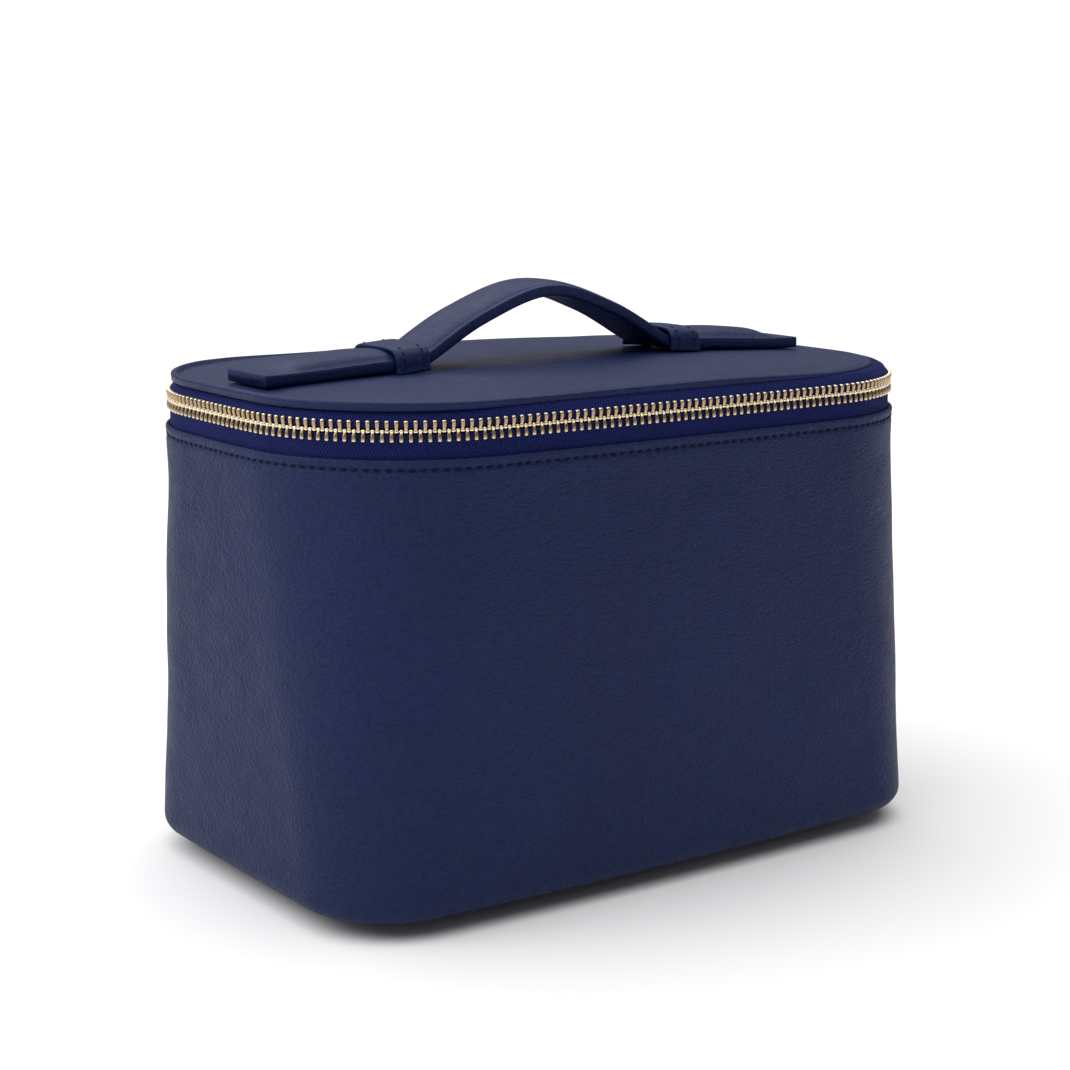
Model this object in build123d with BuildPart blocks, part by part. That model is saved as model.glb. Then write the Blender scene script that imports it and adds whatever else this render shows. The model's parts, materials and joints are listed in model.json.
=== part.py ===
from build123d import *
import os

# A rigid zip-round jewellery case in leather, in millimetres, standing on four studs.
# X runs along the case, Y from the front to the hinged back, Z up from the surface it stands on.

# Heights
foot_height = 5.0
edge_level = 141.0
chain_level = 149.0
lid_seat_level = 155.0
crown_level = 158.5
base_round = 6.0

# Plan outline at the base and at the leather edge: half sizes, side bows and corner radii
base_half = (115.5, 74.0)
edge_half = (118.8, 75.6)
base_bow = (0.8, 3.5)
edge_bow = (3.5, 4.0)
base_corner = 30.0
edge_corner = 55.0

# Wall layers, each as its inset from the outside of the leather
leather_thickness = 1.5
board_inner = 3.5
lining_inner = 4.5
base_board_thickness = 2.5
base_panel_inset = 18.0
board_edge_drop = 1.0
cut_margin = 1.0

# Zip
tape_outer = 1.5
tape_inner = 2.3
tape_foot_level = 132.0
chain_half_width = 3.1
tooth_pitch = 2.75
tooth_width = 1.1
tooth_depth = 2.8
tooth_inset = 1.9
head_depth = 1.6
head_pass = 0.6
hinge_half_width = 58.0
hinge_gap = 0.6
hinge_window_depth = 30.0
stop_length = 2.2
stop_gap = 0.3
slider_length = 9.0
slider_rest = 5.2
slider_height = 7.0
slider_corner = 2.0
slider_inner_inset = 4.0
slider_outer_inset = 0.2
plate_thickness = 0.9
cheek_width = 0.9
cheek_height = 2.2
cheek_gap = 0.2
pin_proud = 1.9
pin_cover = 0.8
pin_radius = 0.5
eye_inner_radius = 0.6
eye_outer_radius = 1.05
eye_length = 3.2
neck_top_drop = 3.0
neck_length = 4.0
puller_width = 5.0
puller_length = 24.0
puller_thickness = 1.0

# Lid
lid_inset = 3.8
lid_skin = 1.2
crown_radius = 3058.0
lid_board_inset = 5.2
lid_board_level = 153.0
lid_board_top = 154.4
lid_lining_inset = 6.0
lid_lining_level = 151.6
flange_thickness = 0.6
tape_flange_inset = 14.0

# Handle
handle_centre = -3.0
strap_half_width = 12.0
strap_bottom = 159.2
strap_top = 163.6
strap_reach = 104.0
strap_chamfer = 1.4
keeper_reach = 53.5
keeper_length = 12.0
keeper_half_width = 14.2
keeper_wall = 1.5
keeper_top = 166.6
keeper_height = 9.6
keeper_corner = 3.5
keeper_clearance = 0.3
arch_end = 52.5
arch_tail_gap = 0.3
arch_end_drop = 0.2
arch_knee = (47.5, 164.1)
arch_shoulder = (25.0, 178.4)
arch_top = 184.0
under_knee = (45.5, 161.0)
under_shoulder = (25.0, 172.0)
arch_under = 178.9

# Tray
ledge_level = 95.0
ledge_top = 98.0
ledge_inner = 9.5
tray_bottom = 98.3
tray_top = 136.0
tray_outer = 5.3
tray_wall = 2.0
tray_skin = 0.8
divider_thickness = 1.6
divider_top = 131.0
divider_gap = 0.3
divider_spare = 300.0
divider_x = 38.0
small_divider_x = -74.0
roll_radius = 6.8
roll_pitch = 14.5
roll_start = 40.0
roll_end = 96.0
roll_count = 6
tab_width = 12.0
tab_thickness = 0.8
tab_top = 140.0
tab_bottom = 131.3
tab_gap = 0.6

# Feet
foot_place = (84.0, 44.0)
foot_radius = 6.0
foot_flat_radius = 3.5
rivet_radius = 1.6
rivet_hole_radius = 1.7
washer_radius = 5.0
washer_thickness = 0.8
washer_clearance = 0.2

base_panel_top = foot_height + leather_thickness
base_board_top = base_panel_top + base_board_thickness
wall_foot_level = foot_height + base_round
board_top_level = edge_level - board_edge_drop
lid_flange_level = lid_seat_level - flange_thickness
slider_inside_face = edge_half[0] - slider_inner_inset
slider_outside_face = edge_half[0] - slider_outer_inset
pin_x = edge_half[0] + pin_proud

os.makedirs("parts", exist_ok=True)


def between(low, high, share):
    """The value a share of the way from low to high."""
    return low + (high - low) * share


def outline(level, inset=0.0):
    """The case's plan outline at a height, drawn in by an inset: bowed sides, round corners."""
    share = min((level - foot_height) / (tape_foot_level - foot_height), 1.0)
    half_x = between(base_half[0], edge_half[0], share) - inset
    half_y = between(base_half[1], edge_half[1], share) - inset
    side_x = half_x - between(base_bow[0], edge_bow[0], share)
    side_y = half_y - between(base_bow[1], edge_bow[1], share)
    corner = between(base_corner, edge_corner, share) - inset
    with BuildSketch(Plane.XY.offset(level)) as section:
        with BuildLine():
            ThreePointArc((-side_x, -side_y), (0, -half_y), (side_x, -side_y))
            ThreePointArc((side_x, -side_y), (half_x, 0), (side_x, side_y))
            ThreePointArc((side_x, side_y), (0, half_y), (-side_x, side_y))
            ThreePointArc((-side_x, side_y), (-half_x, 0), (-side_x, -side_y))
        make_face()
        fillet(section.vertices(), radius=corner)
    return section.sketch


def block(low, high, low_inset, high_inset=None, mode=Mode.ADD):
    """A solid of the case's outline between two heights, in the current part."""
    top_inset = low_inset if high_inset is None else high_inset
    loft([outline(low, low_inset), outline(high, top_inset)], ruled=True, mode=mode)


def hinge_window(mode):
    """The stretch of the back wall that the hinge takes from the zip, in the current part."""
    with BuildSketch(Plane.XY.offset(tape_foot_level - cut_margin)) as window:
        with Locations((0, edge_half[1])):
            Rectangle(2 * hinge_half_width, hinge_window_depth)
    extrude(window.sketch, amount=lid_seat_level - tape_foot_level + 2 * cut_margin, mode=mode)


def save(piece, name):
    """Label a finished piece and write it to its own file."""
    piece.part.label = name
    export_step(piece.part, f"parts/{name}.step")


def dome(inset, drop, low):
    """The lid's crowned block above a height, drawn in and lowered, as a separate solid."""
    with BuildPart() as crowned:
        with BuildSketch(Plane.XY.offset(low)):
            add(outline(edge_level, inset))
        extrude(amount=crown_level + cut_margin - low)
        with Locations((0, 0, crown_level - crown_radius)):
            Sphere(crown_radius - drop, mode=Mode.INTERSECT)
    return crowned.part


foot_points = [(x * foot_place[0], y * foot_place[1]) for x in (-1, 1) for y in (-1, 1)]

# Body: leather wall with its edge turned under the base
with BuildPart() as body_leather:
    block(foot_height, tape_foot_level, 0)
    base_rim = body_leather.faces().sort_by(Axis.Z)[0].edges()
    fillet(base_rim, radius=base_round)
    block(tape_foot_level, edge_level, 0)
    block(base_panel_top, wall_foot_level, base_round, leather_thickness, mode=Mode.SUBTRACT)
    block(wall_foot_level, tape_foot_level, leather_thickness, mode=Mode.SUBTRACT)
    block(tape_foot_level, edge_level, leather_thickness, mode=Mode.SUBTRACT)
    block(foot_height, base_panel_top, base_panel_inset, mode=Mode.SUBTRACT)
save(body_leather, "body_leather")

# Base: leather panel and stiff board, pierced for the rivets of the feet
with BuildPart() as base_leather:
    block(foot_height, base_panel_top, base_panel_inset)
    with Locations(*[(x, y, foot_height) for x, y in foot_points]):
        Cylinder(rivet_hole_radius, 4 * leather_thickness, mode=Mode.SUBTRACT)
save(base_leather, "base_leather")

with BuildPart() as base_board:
    block(base_panel_top, base_board_top, base_round)
    with Locations(*[(x, y, base_board_top) for x, y in foot_points]):
        CounterBoreHole(
            radius=rivet_hole_radius,
            counter_bore_radius=washer_radius + washer_clearance,
            counter_bore_depth=washer_thickness,
            depth=base_board_thickness,
        )
save(base_board, "base_board")

# Wall board, stepped back at the top to leave room for the zip tape
with BuildPart() as wall_board:
    block(wall_foot_level, tape_foot_level, leather_thickness)
    block(tape_foot_level, board_top_level, tape_inner)
    block(wall_foot_level, tape_foot_level, board_inner, mode=Mode.SUBTRACT)
    block(tape_foot_level, board_top_level, board_inner, mode=Mode.SUBTRACT)
save(wall_board, "wall_board")

# Lining: a soft cup inside the boards
with BuildPart() as body_lining:
    block(base_board_top, wall_foot_level, board_inner)
    block(wall_foot_level, tape_foot_level, board_inner)
    block(tape_foot_level, board_top_level, board_inner)
    block(base_board_top + lining_inner - board_inner, tape_foot_level, lining_inner, mode=Mode.SUBTRACT)
    block(tape_foot_level, board_top_level, lining_inner, mode=Mode.SUBTRACT)
save(body_lining, "body_lining")

# Ledge that carries the tray
with BuildPart() as tray_ledge:
    block(ledge_level, ledge_top, lining_inner)
    block(ledge_level, ledge_top, ledge_inner, mode=Mode.SUBTRACT)
save(tray_ledge, "tray_ledge")

# Feet: flat-bottomed studs with a rivet up through the base, each held by a washer
with BuildPart() as bag_feet:
    for x, y in foot_points:
        with BuildSketch(Plane.XY):
            with Locations((x, y)):
                Circle(foot_flat_radius)
        with BuildSketch(Plane.XY.offset(foot_height)):
            with Locations((x, y)):
                Circle(foot_radius)
        loft()
        with BuildSketch(Plane.XY.offset(foot_height)):
            with Locations((x, y)):
                Circle(rivet_radius)
        extrude(amount=base_board_top - foot_height)
save(bag_feet, "bag_feet")

with BuildPart() as foot_washers:
    with BuildSketch(Plane.XY.offset(base_board_top - washer_thickness)):
        with Locations(*foot_points):
            Circle(washer_radius)
            Circle(rivet_hole_radius, mode=Mode.SUBTRACT)
    extrude(amount=washer_thickness)
save(foot_washers, "foot_washers")

# Lower zip tape, and the hinge leather that takes its place along the back
chain_bottom = chain_level - chain_half_width
chain_top = chain_level + chain_half_width

with BuildPart() as lower_zip_tape:
    block(tape_foot_level, chain_bottom, tape_outer)
    block(tape_foot_level, chain_bottom, tape_inner, mode=Mode.SUBTRACT)
    hinge_window(Mode.SUBTRACT)
save(lower_zip_tape, "lower_zip_tape")

with BuildPart() as hinge_lower:
    block(tape_foot_level, chain_level - hinge_gap / 2, tape_outer)
    block(tape_foot_level, chain_level - hinge_gap / 2, tape_inner, mode=Mode.SUBTRACT)
    hinge_window(Mode.INTERSECT)
save(hinge_lower, "hinge_lower")

# Upper zip tape: up from the chain, leaning in to a flange sewn under the lid leather
lean = lid_inset - tape_outer


def leaning_tape(bottom):
    """The upper tape's band from a height up to its flange, in the current part."""
    if bottom < chain_top:
        block(bottom, chain_top, tape_outer)
    block(chain_top, lid_flange_level, tape_outer, lid_inset)
    block(lid_flange_level, lid_seat_level, lid_inset)
    if bottom < chain_top:
        block(bottom, chain_top, tape_inner, mode=Mode.SUBTRACT)
    block(chain_top, lid_flange_level, tape_inner, tape_inner + lean, mode=Mode.SUBTRACT)
    block(lid_flange_level, lid_seat_level, tape_flange_inset, mode=Mode.SUBTRACT)


with BuildPart() as upper_zip_tape:
    leaning_tape(chain_top)
    hinge_window(Mode.SUBTRACT)
save(upper_zip_tape, "upper_zip_tape")

with BuildPart() as hinge_upper:
    leaning_tape(chain_level + hinge_gap / 2)
    hinge_window(Mode.INTERSECT)
save(hinge_upper, "hinge_upper")

# Zip teeth: equal teeth set along the outline, the two rows half a pitch apart
with BuildPart() as tooth:
    Box(tooth_width, tooth_depth, chain_half_width, align=(Align.CENTER, Align.CENTER, Align.MIN))
    with Locations((0, 0, chain_half_width)):
        Box(tooth_width, head_depth, head_pass, align=(Align.CENTER, Align.CENTER, Align.MIN))

chain_path = outline(chain_level, tooth_inset).wire()
tooth_count = round(chain_path.length / tooth_pitch)


def chain_places(level, up, shift):
    """Where one row's teeth stand: their roots at a height, pointing up or down."""
    places = []
    for number in range(tooth_count):
        share = ((number + shift) / tooth_count) % 1.0
        point = chain_path.position_at(share)
        clear = hinge_half_width + stop_length + tooth_pitch
        if point.Y > 0 and abs(point.X) < clear:
            continue
        root = Vector(point.X, point.Y, level)
        along = chain_path.tangent_at(share)
        places.append(Plane(origin=root, x_dir=along, z_dir=(0, 0, up)).location)
    return places


with BuildPart() as lower_zip_teeth:
    with Locations(*chain_places(chain_bottom, 1, 0)):
        add(tooth.part)
save(lower_zip_teeth, "lower_zip_teeth")

with BuildPart() as upper_zip_teeth:
    with Locations(*chain_places(chain_top, -1, 0.5)):
        add(tooth.part)
save(upper_zip_teeth, "upper_zip_teeth")


def end_stops(level, height, name):
    """The pair of crimped stops that end one row beside the hinge."""
    with BuildPart() as stops:
        block(level, level + height, tooth_inset - tooth_depth / 2)
        block(level, level + height, tooth_inset + tooth_depth / 2, mode=Mode.SUBTRACT)
        with BuildSketch(Plane.XY.offset(level)):
            for side in (-1, 1):
                with Locations((side * (hinge_half_width + stop_length / 2 + stop_gap), edge_half[1])):
                    Rectangle(stop_length, hinge_window_depth)
        extrude(amount=height, mode=Mode.INTERSECT)
    save(stops, name)


end_stops(chain_bottom, chain_half_width - hinge_gap / 2, "lower_end_stops")
end_stops(chain_level + hinge_gap / 2, chain_half_width - hinge_gap / 2, "upper_end_stops")

# Lid: leather skin over foam, on a board faced with lining
with BuildPart() as lid_leather:
    add(dome(lid_inset, 0, lid_seat_level))
    add(dome(lid_inset + lid_skin, lid_skin, lid_seat_level), mode=Mode.SUBTRACT)
save(lid_leather, "lid_leather")

with BuildPart() as lid_foam:
    add(dome(lid_inset + lid_skin, lid_skin, lid_seat_level))
save(lid_foam, "lid_foam")

with BuildPart() as lid_board:
    block(lid_board_level, lid_board_top, lid_board_inset)
    block(lid_board_top, lid_seat_level, tape_flange_inset)
save(lid_board, "lid_board")

with BuildPart() as lid_lining:
    block(lid_lining_level, lid_board_level, lid_lining_inset)
save(lid_lining, "lid_lining")

# Handle: keepers sewn to the lid, the arched grip, and the two strap ends
for side, name in ((-1, "keeper_left"), (1, "keeper_right")):
    with BuildPart() as keeper:
        with BuildSketch(Plane.YZ.offset(handle_centre + side * keeper_reach)) as section:
            with Locations((0, keeper_top)):
                Rectangle(2 * keeper_half_width, keeper_height, align=(Align.CENTER, Align.MAX))
            fillet(section.vertices().group_by(Axis.Z)[-1], radius=keeper_corner)
            with Locations((0, keeper_top - keeper_wall - keeper_clearance)):
                Rectangle(
                    2 * (keeper_half_width - keeper_wall), keeper_height,
                    align=(Align.CENTER, Align.MAX), mode=Mode.SUBTRACT,
                )
        extrude(amount=keeper_length / 2, both=True)
        add(dome(lid_inset, 0, lid_seat_level), mode=Mode.SUBTRACT)
    save(keeper, name)

arch_end_level = strap_top - arch_end_drop
with BuildPart() as handle_arch:
    with BuildSketch(Plane.XZ):
        with BuildLine(Location((handle_centre, 0, 0))):
            outer_half = [(arch_end, arch_end_level), arch_knee, arch_shoulder]
            under_half = [(arch_end, strap_bottom), under_knee, under_shoulder]
            Spline(*[(-x, z) for x, z in outer_half], (0, arch_top), *outer_half[::-1])
            Line((arch_end, arch_end_level), (arch_end, strap_bottom))
            Spline(*under_half, (0, arch_under), *[(-x, z) for x, z in under_half[::-1]])
            Line((-arch_end, strap_bottom), (-arch_end, arch_end_level))
        make_face()
    extrude(amount=strap_half_width, both=True)
save(handle_arch, "handle_arch")

for side, name in ((-1, "strap_end_left"), (1, "strap_end_right")):
    near = handle_centre + side * (arch_end + arch_tail_gap)
    far = handle_centre + side * strap_reach
    with BuildPart() as strap_end:
        with BuildSketch(Plane.XY.offset(strap_bottom)):
            with Locations(((near + far) / 2, 0)):
                Rectangle(abs(far - near), 2 * strap_half_width)
        extrude(amount=strap_top - strap_bottom)
        top_edges = strap_end.edges().filter_by(Axis.X).group_by(Axis.Z)[-1]
        chamfer(top_edges, length=strap_chamfer)
    save(strap_end, name)

# Tray: lined shell with dividers, ring rolls and lifting tabs
tray_floor = tray_bottom + tray_wall
tray_lining_inner = tray_outer + tray_wall + tray_skin
tray_base = tray_floor + tray_skin

with BuildPart() as tray_shell:
    block(tray_bottom, tray_top, tray_outer)
    block(tray_floor, tray_top, tray_outer + tray_wall, mode=Mode.SUBTRACT)
save(tray_shell, "tray_shell")

with BuildPart() as tray_lining:
    block(tray_floor, tray_top, tray_outer + tray_wall)
    block(tray_base, tray_top, tray_lining_inner, mode=Mode.SUBTRACT)
save(tray_lining, "tray_lining")

with BuildPart() as tray_dividers:
    with BuildSketch(Plane.XY.offset(tray_base)):
        with Locations((-divider_x, 0), (divider_x, 0)):
            Rectangle(divider_thickness, divider_spare)
        with Locations((divider_x, 0)):
            Rectangle(divider_spare, divider_thickness, align=(Align.MAX, Align.CENTER))
        with Locations((small_divider_x, 0)):
            Rectangle(divider_thickness, divider_spare, align=(Align.CENTER, Align.MIN))
    extrude(amount=divider_top - tray_base)
    block(tray_base, divider_top, tray_lining_inner + divider_gap, mode=Mode.INTERSECT)
save(tray_dividers, "tray_dividers")

with BuildPart() as ring_rolls:
    for number in range(roll_count):
        roll_y = (number - (roll_count - 1) / 2) * roll_pitch
        with BuildSketch(Plane.YZ.offset(roll_start)):
            with Locations((roll_y, tray_base + roll_radius)):
                Circle(roll_radius)
        extrude(amount=roll_end - roll_start)
save(ring_rolls, "ring_rolls")

tab_x = edge_half[0] - tray_lining_inner - tab_thickness / 2 - tab_gap
with BuildPart() as tray_tabs:
    with BuildSketch(Plane.XY.offset(tab_bottom)):
        with Locations((-tab_x, 0), (tab_x, 0)):
            Rectangle(tab_thickness, tab_width)
    extrude(amount=tab_top - tab_bottom)
save(tray_tabs, "tray_tabs")

# Zip sliders: an inner and an outer plate astride the chain, the outer one with the puller's pin
cheek_centre = (eye_length + cheek_width) / 2 + cheek_gap
for side, place in ((-1, "front"), (1, "rear")):
    centre_y = side * slider_rest
    outer_face = slider_outside_face + plate_thickness
    with BuildPart() as slider:
        with BuildSketch(Plane.YZ.offset(slider_outside_face)):
            with Locations((centre_y, chain_level)):
                RectangleRounded(slider_length, slider_height, slider_corner)
        extrude(amount=plate_thickness)
        with BuildSketch(Plane.YZ.offset(slider_inside_face)):
            with Locations((centre_y, chain_level)):
                RectangleRounded(slider_length, slider_height, slider_corner)
        extrude(amount=-plate_thickness)
        with BuildSketch(Plane.XZ.offset(-centre_y + eye_length / 2 + cheek_width)):
            with Locations((pin_x, chain_level)):
                Circle(pin_radius)
        extrude(amount=-eye_length - 2 * cheek_width)
        with BuildSketch(Plane.YZ.offset(outer_face)):
            for end in (-1, 1):
                with Locations((centre_y + end * cheek_centre, chain_level)):
                    Rectangle(cheek_width, cheek_height)
        extrude(amount=pin_x + pin_cover - outer_face)
    save(slider, f"zip_slider_{place}")

    with BuildPart() as puller:
        with BuildSketch(Plane.XZ.offset(-centre_y)):
            with Locations((pin_x, chain_level)):
                Circle(eye_outer_radius)
        extrude(amount=eye_length / 2, both=True)
        with BuildSketch(Plane.YZ.offset(pin_x)):
            with Locations((centre_y, chain_level - eye_outer_radius)):
                Rectangle(eye_length, neck_length, align=(Align.CENTER, Align.MAX))
            with Locations((centre_y, chain_level - eye_outer_radius - neck_top_drop)):
                Rectangle(puller_width, puller_length - neck_top_drop, align=(Align.CENTER, Align.MAX))
        extrude(amount=puller_thickness / 2, both=True)
        with BuildSketch(Plane.YZ.offset(pin_x)):
            with Locations((centre_y, chain_level)):
                Rectangle(eye_length, 2 * eye_outer_radius, align=(Align.CENTER, Align.MAX))
        extrude(amount=puller_thickness / 2, both=True)
        with BuildSketch(Plane.XZ.offset(-centre_y)):
            with Locations((pin_x, chain_level)):
                Circle(eye_inner_radius)
        extrude(amount=eye_length, both=True, mode=Mode.SUBTRACT)
    save(puller, f"puller_{place}")
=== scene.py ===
import json
import math

import bpy
import numpy as np
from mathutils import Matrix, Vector, noise


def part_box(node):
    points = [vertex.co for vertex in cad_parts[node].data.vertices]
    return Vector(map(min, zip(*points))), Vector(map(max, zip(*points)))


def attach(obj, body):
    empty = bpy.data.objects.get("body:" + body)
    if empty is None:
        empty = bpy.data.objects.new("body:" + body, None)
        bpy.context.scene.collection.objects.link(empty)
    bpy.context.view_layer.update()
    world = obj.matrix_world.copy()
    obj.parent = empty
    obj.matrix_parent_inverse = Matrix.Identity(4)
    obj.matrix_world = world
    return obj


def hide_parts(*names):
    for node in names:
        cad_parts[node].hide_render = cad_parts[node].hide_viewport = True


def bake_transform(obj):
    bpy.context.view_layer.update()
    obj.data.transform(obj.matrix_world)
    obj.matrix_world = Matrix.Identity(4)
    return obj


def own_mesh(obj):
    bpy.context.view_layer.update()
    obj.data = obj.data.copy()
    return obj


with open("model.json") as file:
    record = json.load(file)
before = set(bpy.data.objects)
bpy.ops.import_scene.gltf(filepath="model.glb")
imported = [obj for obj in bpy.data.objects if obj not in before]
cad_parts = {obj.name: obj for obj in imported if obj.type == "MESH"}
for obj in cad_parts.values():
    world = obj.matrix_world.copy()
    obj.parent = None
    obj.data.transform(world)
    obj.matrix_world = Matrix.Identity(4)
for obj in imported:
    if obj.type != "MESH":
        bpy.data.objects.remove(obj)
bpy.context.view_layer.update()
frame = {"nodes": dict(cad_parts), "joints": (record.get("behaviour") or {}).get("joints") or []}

MM = 0.001

# ---------------------------------------------------------------- places taken from the frame
body_low, body_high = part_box("body_leather")
lid_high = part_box("lid_leather")[1]
tape_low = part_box("lower_zip_tape")[0]
upper_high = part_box("upper_zip_tape")[1]
hinge_low, hinge_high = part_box("hinge_lower")
base_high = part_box("base_board")[1]
lining_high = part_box("body_lining")[1]
tray_low, tray_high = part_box("tray_shell")
tray_inner_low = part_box("tray_lining")[0]
arch_low, arch_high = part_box("handle_arch")
teeth_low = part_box("lower_zip_teeth")[0]
joints = {joint["name"]: joint for joint in frame["joints"]}
hinge_line = joints["lid_hinge"]["pos_m"]

BOTTOM = body_low[2]
EDGE = body_high[2]
FLARE_TOP = tape_low[2]
CHAIN_LEVEL = hinge_line[2]
CHAIN_HALF = CHAIN_LEVEL - teeth_low[2]
LID_SEAT = upper_high[2]
CROWN = lid_high[2]
HINGE_HALF = hinge_high[0]
EDGE_HALF = (body_high[0], body_high[1])

# ---------------------------------------------------------------- shape of the plan outline
BASE_HALF = (115.5 * MM, 74.0 * MM)
BASE_BOW = (0.8 * MM, 3.5 * MM)
EDGE_BOW = (3.5 * MM, 4.0 * MM)
BASE_CORNER = 30.0 * MM
EDGE_CORNER = 55.0 * MM
TOOTH_INSET = 1.9 * MM
TAPE_OUTER = 1.5 * MM
TAPE_INNER = 2.3 * MM
LID_INSET = 3.8 * MM
TOOTH_PITCH = 2.75 * MM
SIDE_STEPS, CORNER_STEPS, LONG_STEPS = 12, 26, 26


def mix(low, high, share):
    """The value a share of the way from low to high."""
    return low + (high - low) * share


def quarter(half, bow, corner):
    """Points and normals of a quarter of the outline, from the middle of the right side to the back."""
    chord = (half[0] - bow[0], half[1] - bow[1])
    side_radius = (chord[1] ** 2 + bow[0] ** 2) / (2 * bow[0])
    long_radius = (chord[0] ** 2 + bow[1] ** 2) / (2 * bow[1])
    side_centre = np.array([half[0] - side_radius, 0.0])
    long_centre = np.array([0.0, half[1] - long_radius])
    reach_side, reach_long = side_radius - corner, long_radius - corner
    apart = long_centre - side_centre
    length = np.linalg.norm(apart)
    along = (reach_side ** 2 - reach_long ** 2 + length ** 2) / (2 * length)
    across = math.sqrt(reach_side ** 2 - along ** 2)
    unit = apart / length
    turn = np.array([-unit[1], unit[0]])
    if turn.sum() < 0:
        turn = -turn
    corner_centre = side_centre + along * unit + across * turn
    first = math.atan2(*(corner_centre - side_centre)[::-1])
    second = math.atan2(*(corner_centre - long_centre)[::-1])
    stretches = (
        (side_centre, side_radius, 0.0, first, SIDE_STEPS),
        (corner_centre, corner, first, second, CORNER_STEPS),
        (long_centre, long_radius, second, math.pi / 2, LONG_STEPS),
    )
    points, normals = [], []
    for centre, radius, start, end, steps in stretches:
        angles = np.linspace(start, end, steps, endpoint=False)
        direction = np.stack([np.cos(angles), np.sin(angles)], 1)
        points.append(centre + radius * direction)
        normals.append(direction)
    return np.concatenate(points), np.concatenate(normals)


def outline(level):
    """The whole outline at a height, anticlockwise from the right: points and outward normals."""
    share = min(max((level - BOTTOM) / (FLARE_TOP - BOTTOM), 0.0), 1.0)
    half = [mix(BASE_HALF[k], EDGE_HALF[k], share) for k in (0, 1)]
    bow = [mix(BASE_BOW[k], EDGE_BOW[k], share) for k in (0, 1)]
    p, n = quarter(half, bow, mix(BASE_CORNER, EDGE_CORNER, share))
    back = np.array([[0.0, half[1]]])
    up = np.array([[0.0, 1.0]])
    flip = np.array([-1.0, 1.0])
    points = np.concatenate([p, back, (p * flip)[::-1]])
    normals = np.concatenate([n, up, (n * flip)[::-1]])
    points = np.concatenate([points[:-1], -points[:-1]])
    normals = np.concatenate([normals[:-1], -normals[:-1]])
    return points, normals


def ring(level, inset):
    """A ring of 3-D points: the outline at a height, drawn in by an inset."""
    points, normals = outline(level)
    flat = points - normals * np.reshape(inset, (-1, 1))
    return np.column_stack([flat, np.full(len(flat), level)])


# The zip's path: the upright outline, open where the hinge is, measured along its length
top_points, top_normals = outline(EDGE)
start = int(np.argmax(top_points[:, 1]))
open_points = np.roll(top_points, -start, axis=0)
open_normals = np.roll(top_normals, -start, axis=0)
open_points = np.concatenate([open_points, open_points[:1]])
open_normals = np.concatenate([open_normals, open_normals[:1]])
steps = np.linalg.norm(np.diff(open_points, axis=0), axis=1)
distance = np.concatenate([[0.0], np.cumsum(steps)])
PERIMETER = distance[-1]


def on_path(run):
    """Points and normals on the zip's path at distances from the middle of the back."""
    run = np.asarray(run)
    point = np.stack([np.interp(run, distance, open_points[:, k]) for k in (0, 1)], -1)
    normal = np.stack([np.interp(run, distance, open_normals[:, k]) for k in (0, 1)], -1)
    normal /= np.linalg.norm(normal, axis=-1, keepdims=True)
    return point, normal


# ---------------------------------------------------------------- meshes
def new_mesh(name, verts, faces):
    """A smooth-shaded mesh object from points and faces."""
    mesh = bpy.data.meshes.new(name)
    mesh.from_pydata([tuple(map(float, v)) for v in verts], [], [tuple(map(int, f)) for f in faces])
    mesh.validate()
    mesh.update()
    mesh.shade_smooth()
    obj = bpy.data.objects.new(name, mesh)
    bpy.context.collection.objects.link(obj)
    return obj


def grid_faces(rows, columns, wrap_columns=False, wrap_rows=False, flip=False):
    """Quads of a grid stored row by row."""
    faces = []
    for r in range(rows if wrap_rows else rows - 1):
        for c in range(columns if wrap_columns else columns - 1):
            a = r * columns + c
            b = r * columns + (c + 1) % columns
            d = ((r + 1) % rows) * columns + c
            e = ((r + 1) % rows) * columns + (c + 1) % columns
            faces.append((a, d, e, b) if flip else (a, b, e, d))
    return faces


def subdivide(obj):
    """Smooth the mesh with one level of subdivision surface, applied."""
    modifier = obj.modifiers.new("smooth", "SUBSURF")
    modifier.levels = 1
    modifier.render_levels = 1
    depsgraph = bpy.context.evaluated_depsgraph_get()
    mesh = bpy.data.meshes.new_from_object(obj.evaluated_get(depsgraph))
    obj.modifiers.clear()
    old = obj.data
    obj.data = mesh
    bpy.data.meshes.remove(old)


def finish_piece(obj, material, slot, body, *nodes):
    """Give a piece its material, what it stands for, and the body it rides on. The slot is not used."""
    obj.data.materials.clear()
    obj.data.materials.append(material)
    if nodes:
        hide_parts(*nodes)
    if body:
        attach(obj, body)


def wrapped(name, profile, ripple):
    """A band round the case from a profile of (inset, height) pairs, each ring passed through ripple."""
    verts = [ripple(ring(level, inset)) for inset, level in profile]
    count = len(verts[0])
    return new_mesh(name, np.concatenate(verts), grid_faces(len(verts), count, wrap_columns=True))


def along_path(name, profile, run):
    """A strip along the zip's path from a closed profile of (inset, height) pairs, with its ends filled.
    It carries run, the distance along it and the height, for woven materials."""
    point, normal = on_path(run)
    verts, marks = [], []
    for inset, level in profile:
        shift = inset(run) if callable(inset) else inset
        height = level(run) if callable(level) else np.full(len(run), level)
        flat = point - normal * np.reshape(shift, (-1, 1))
        verts.append(np.column_stack([flat, height]))
        marks.append(np.column_stack([run, height, np.zeros(len(run))]))
    rows, columns = len(profile), len(run)
    faces = grid_faces(rows, columns, wrap_rows=True)
    faces.append([r * columns for r in range(rows)])
    faces.append([r * columns + columns - 1 for r in range(rows)][::-1])
    obj = new_mesh(name, np.concatenate(verts), faces)
    attribute = obj.data.attributes.new("run", "FLOAT_VECTOR", "POINT")
    attribute.data.foreach_set("vector", np.concatenate(marks).astype(np.float32).ravel())
    return obj


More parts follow.
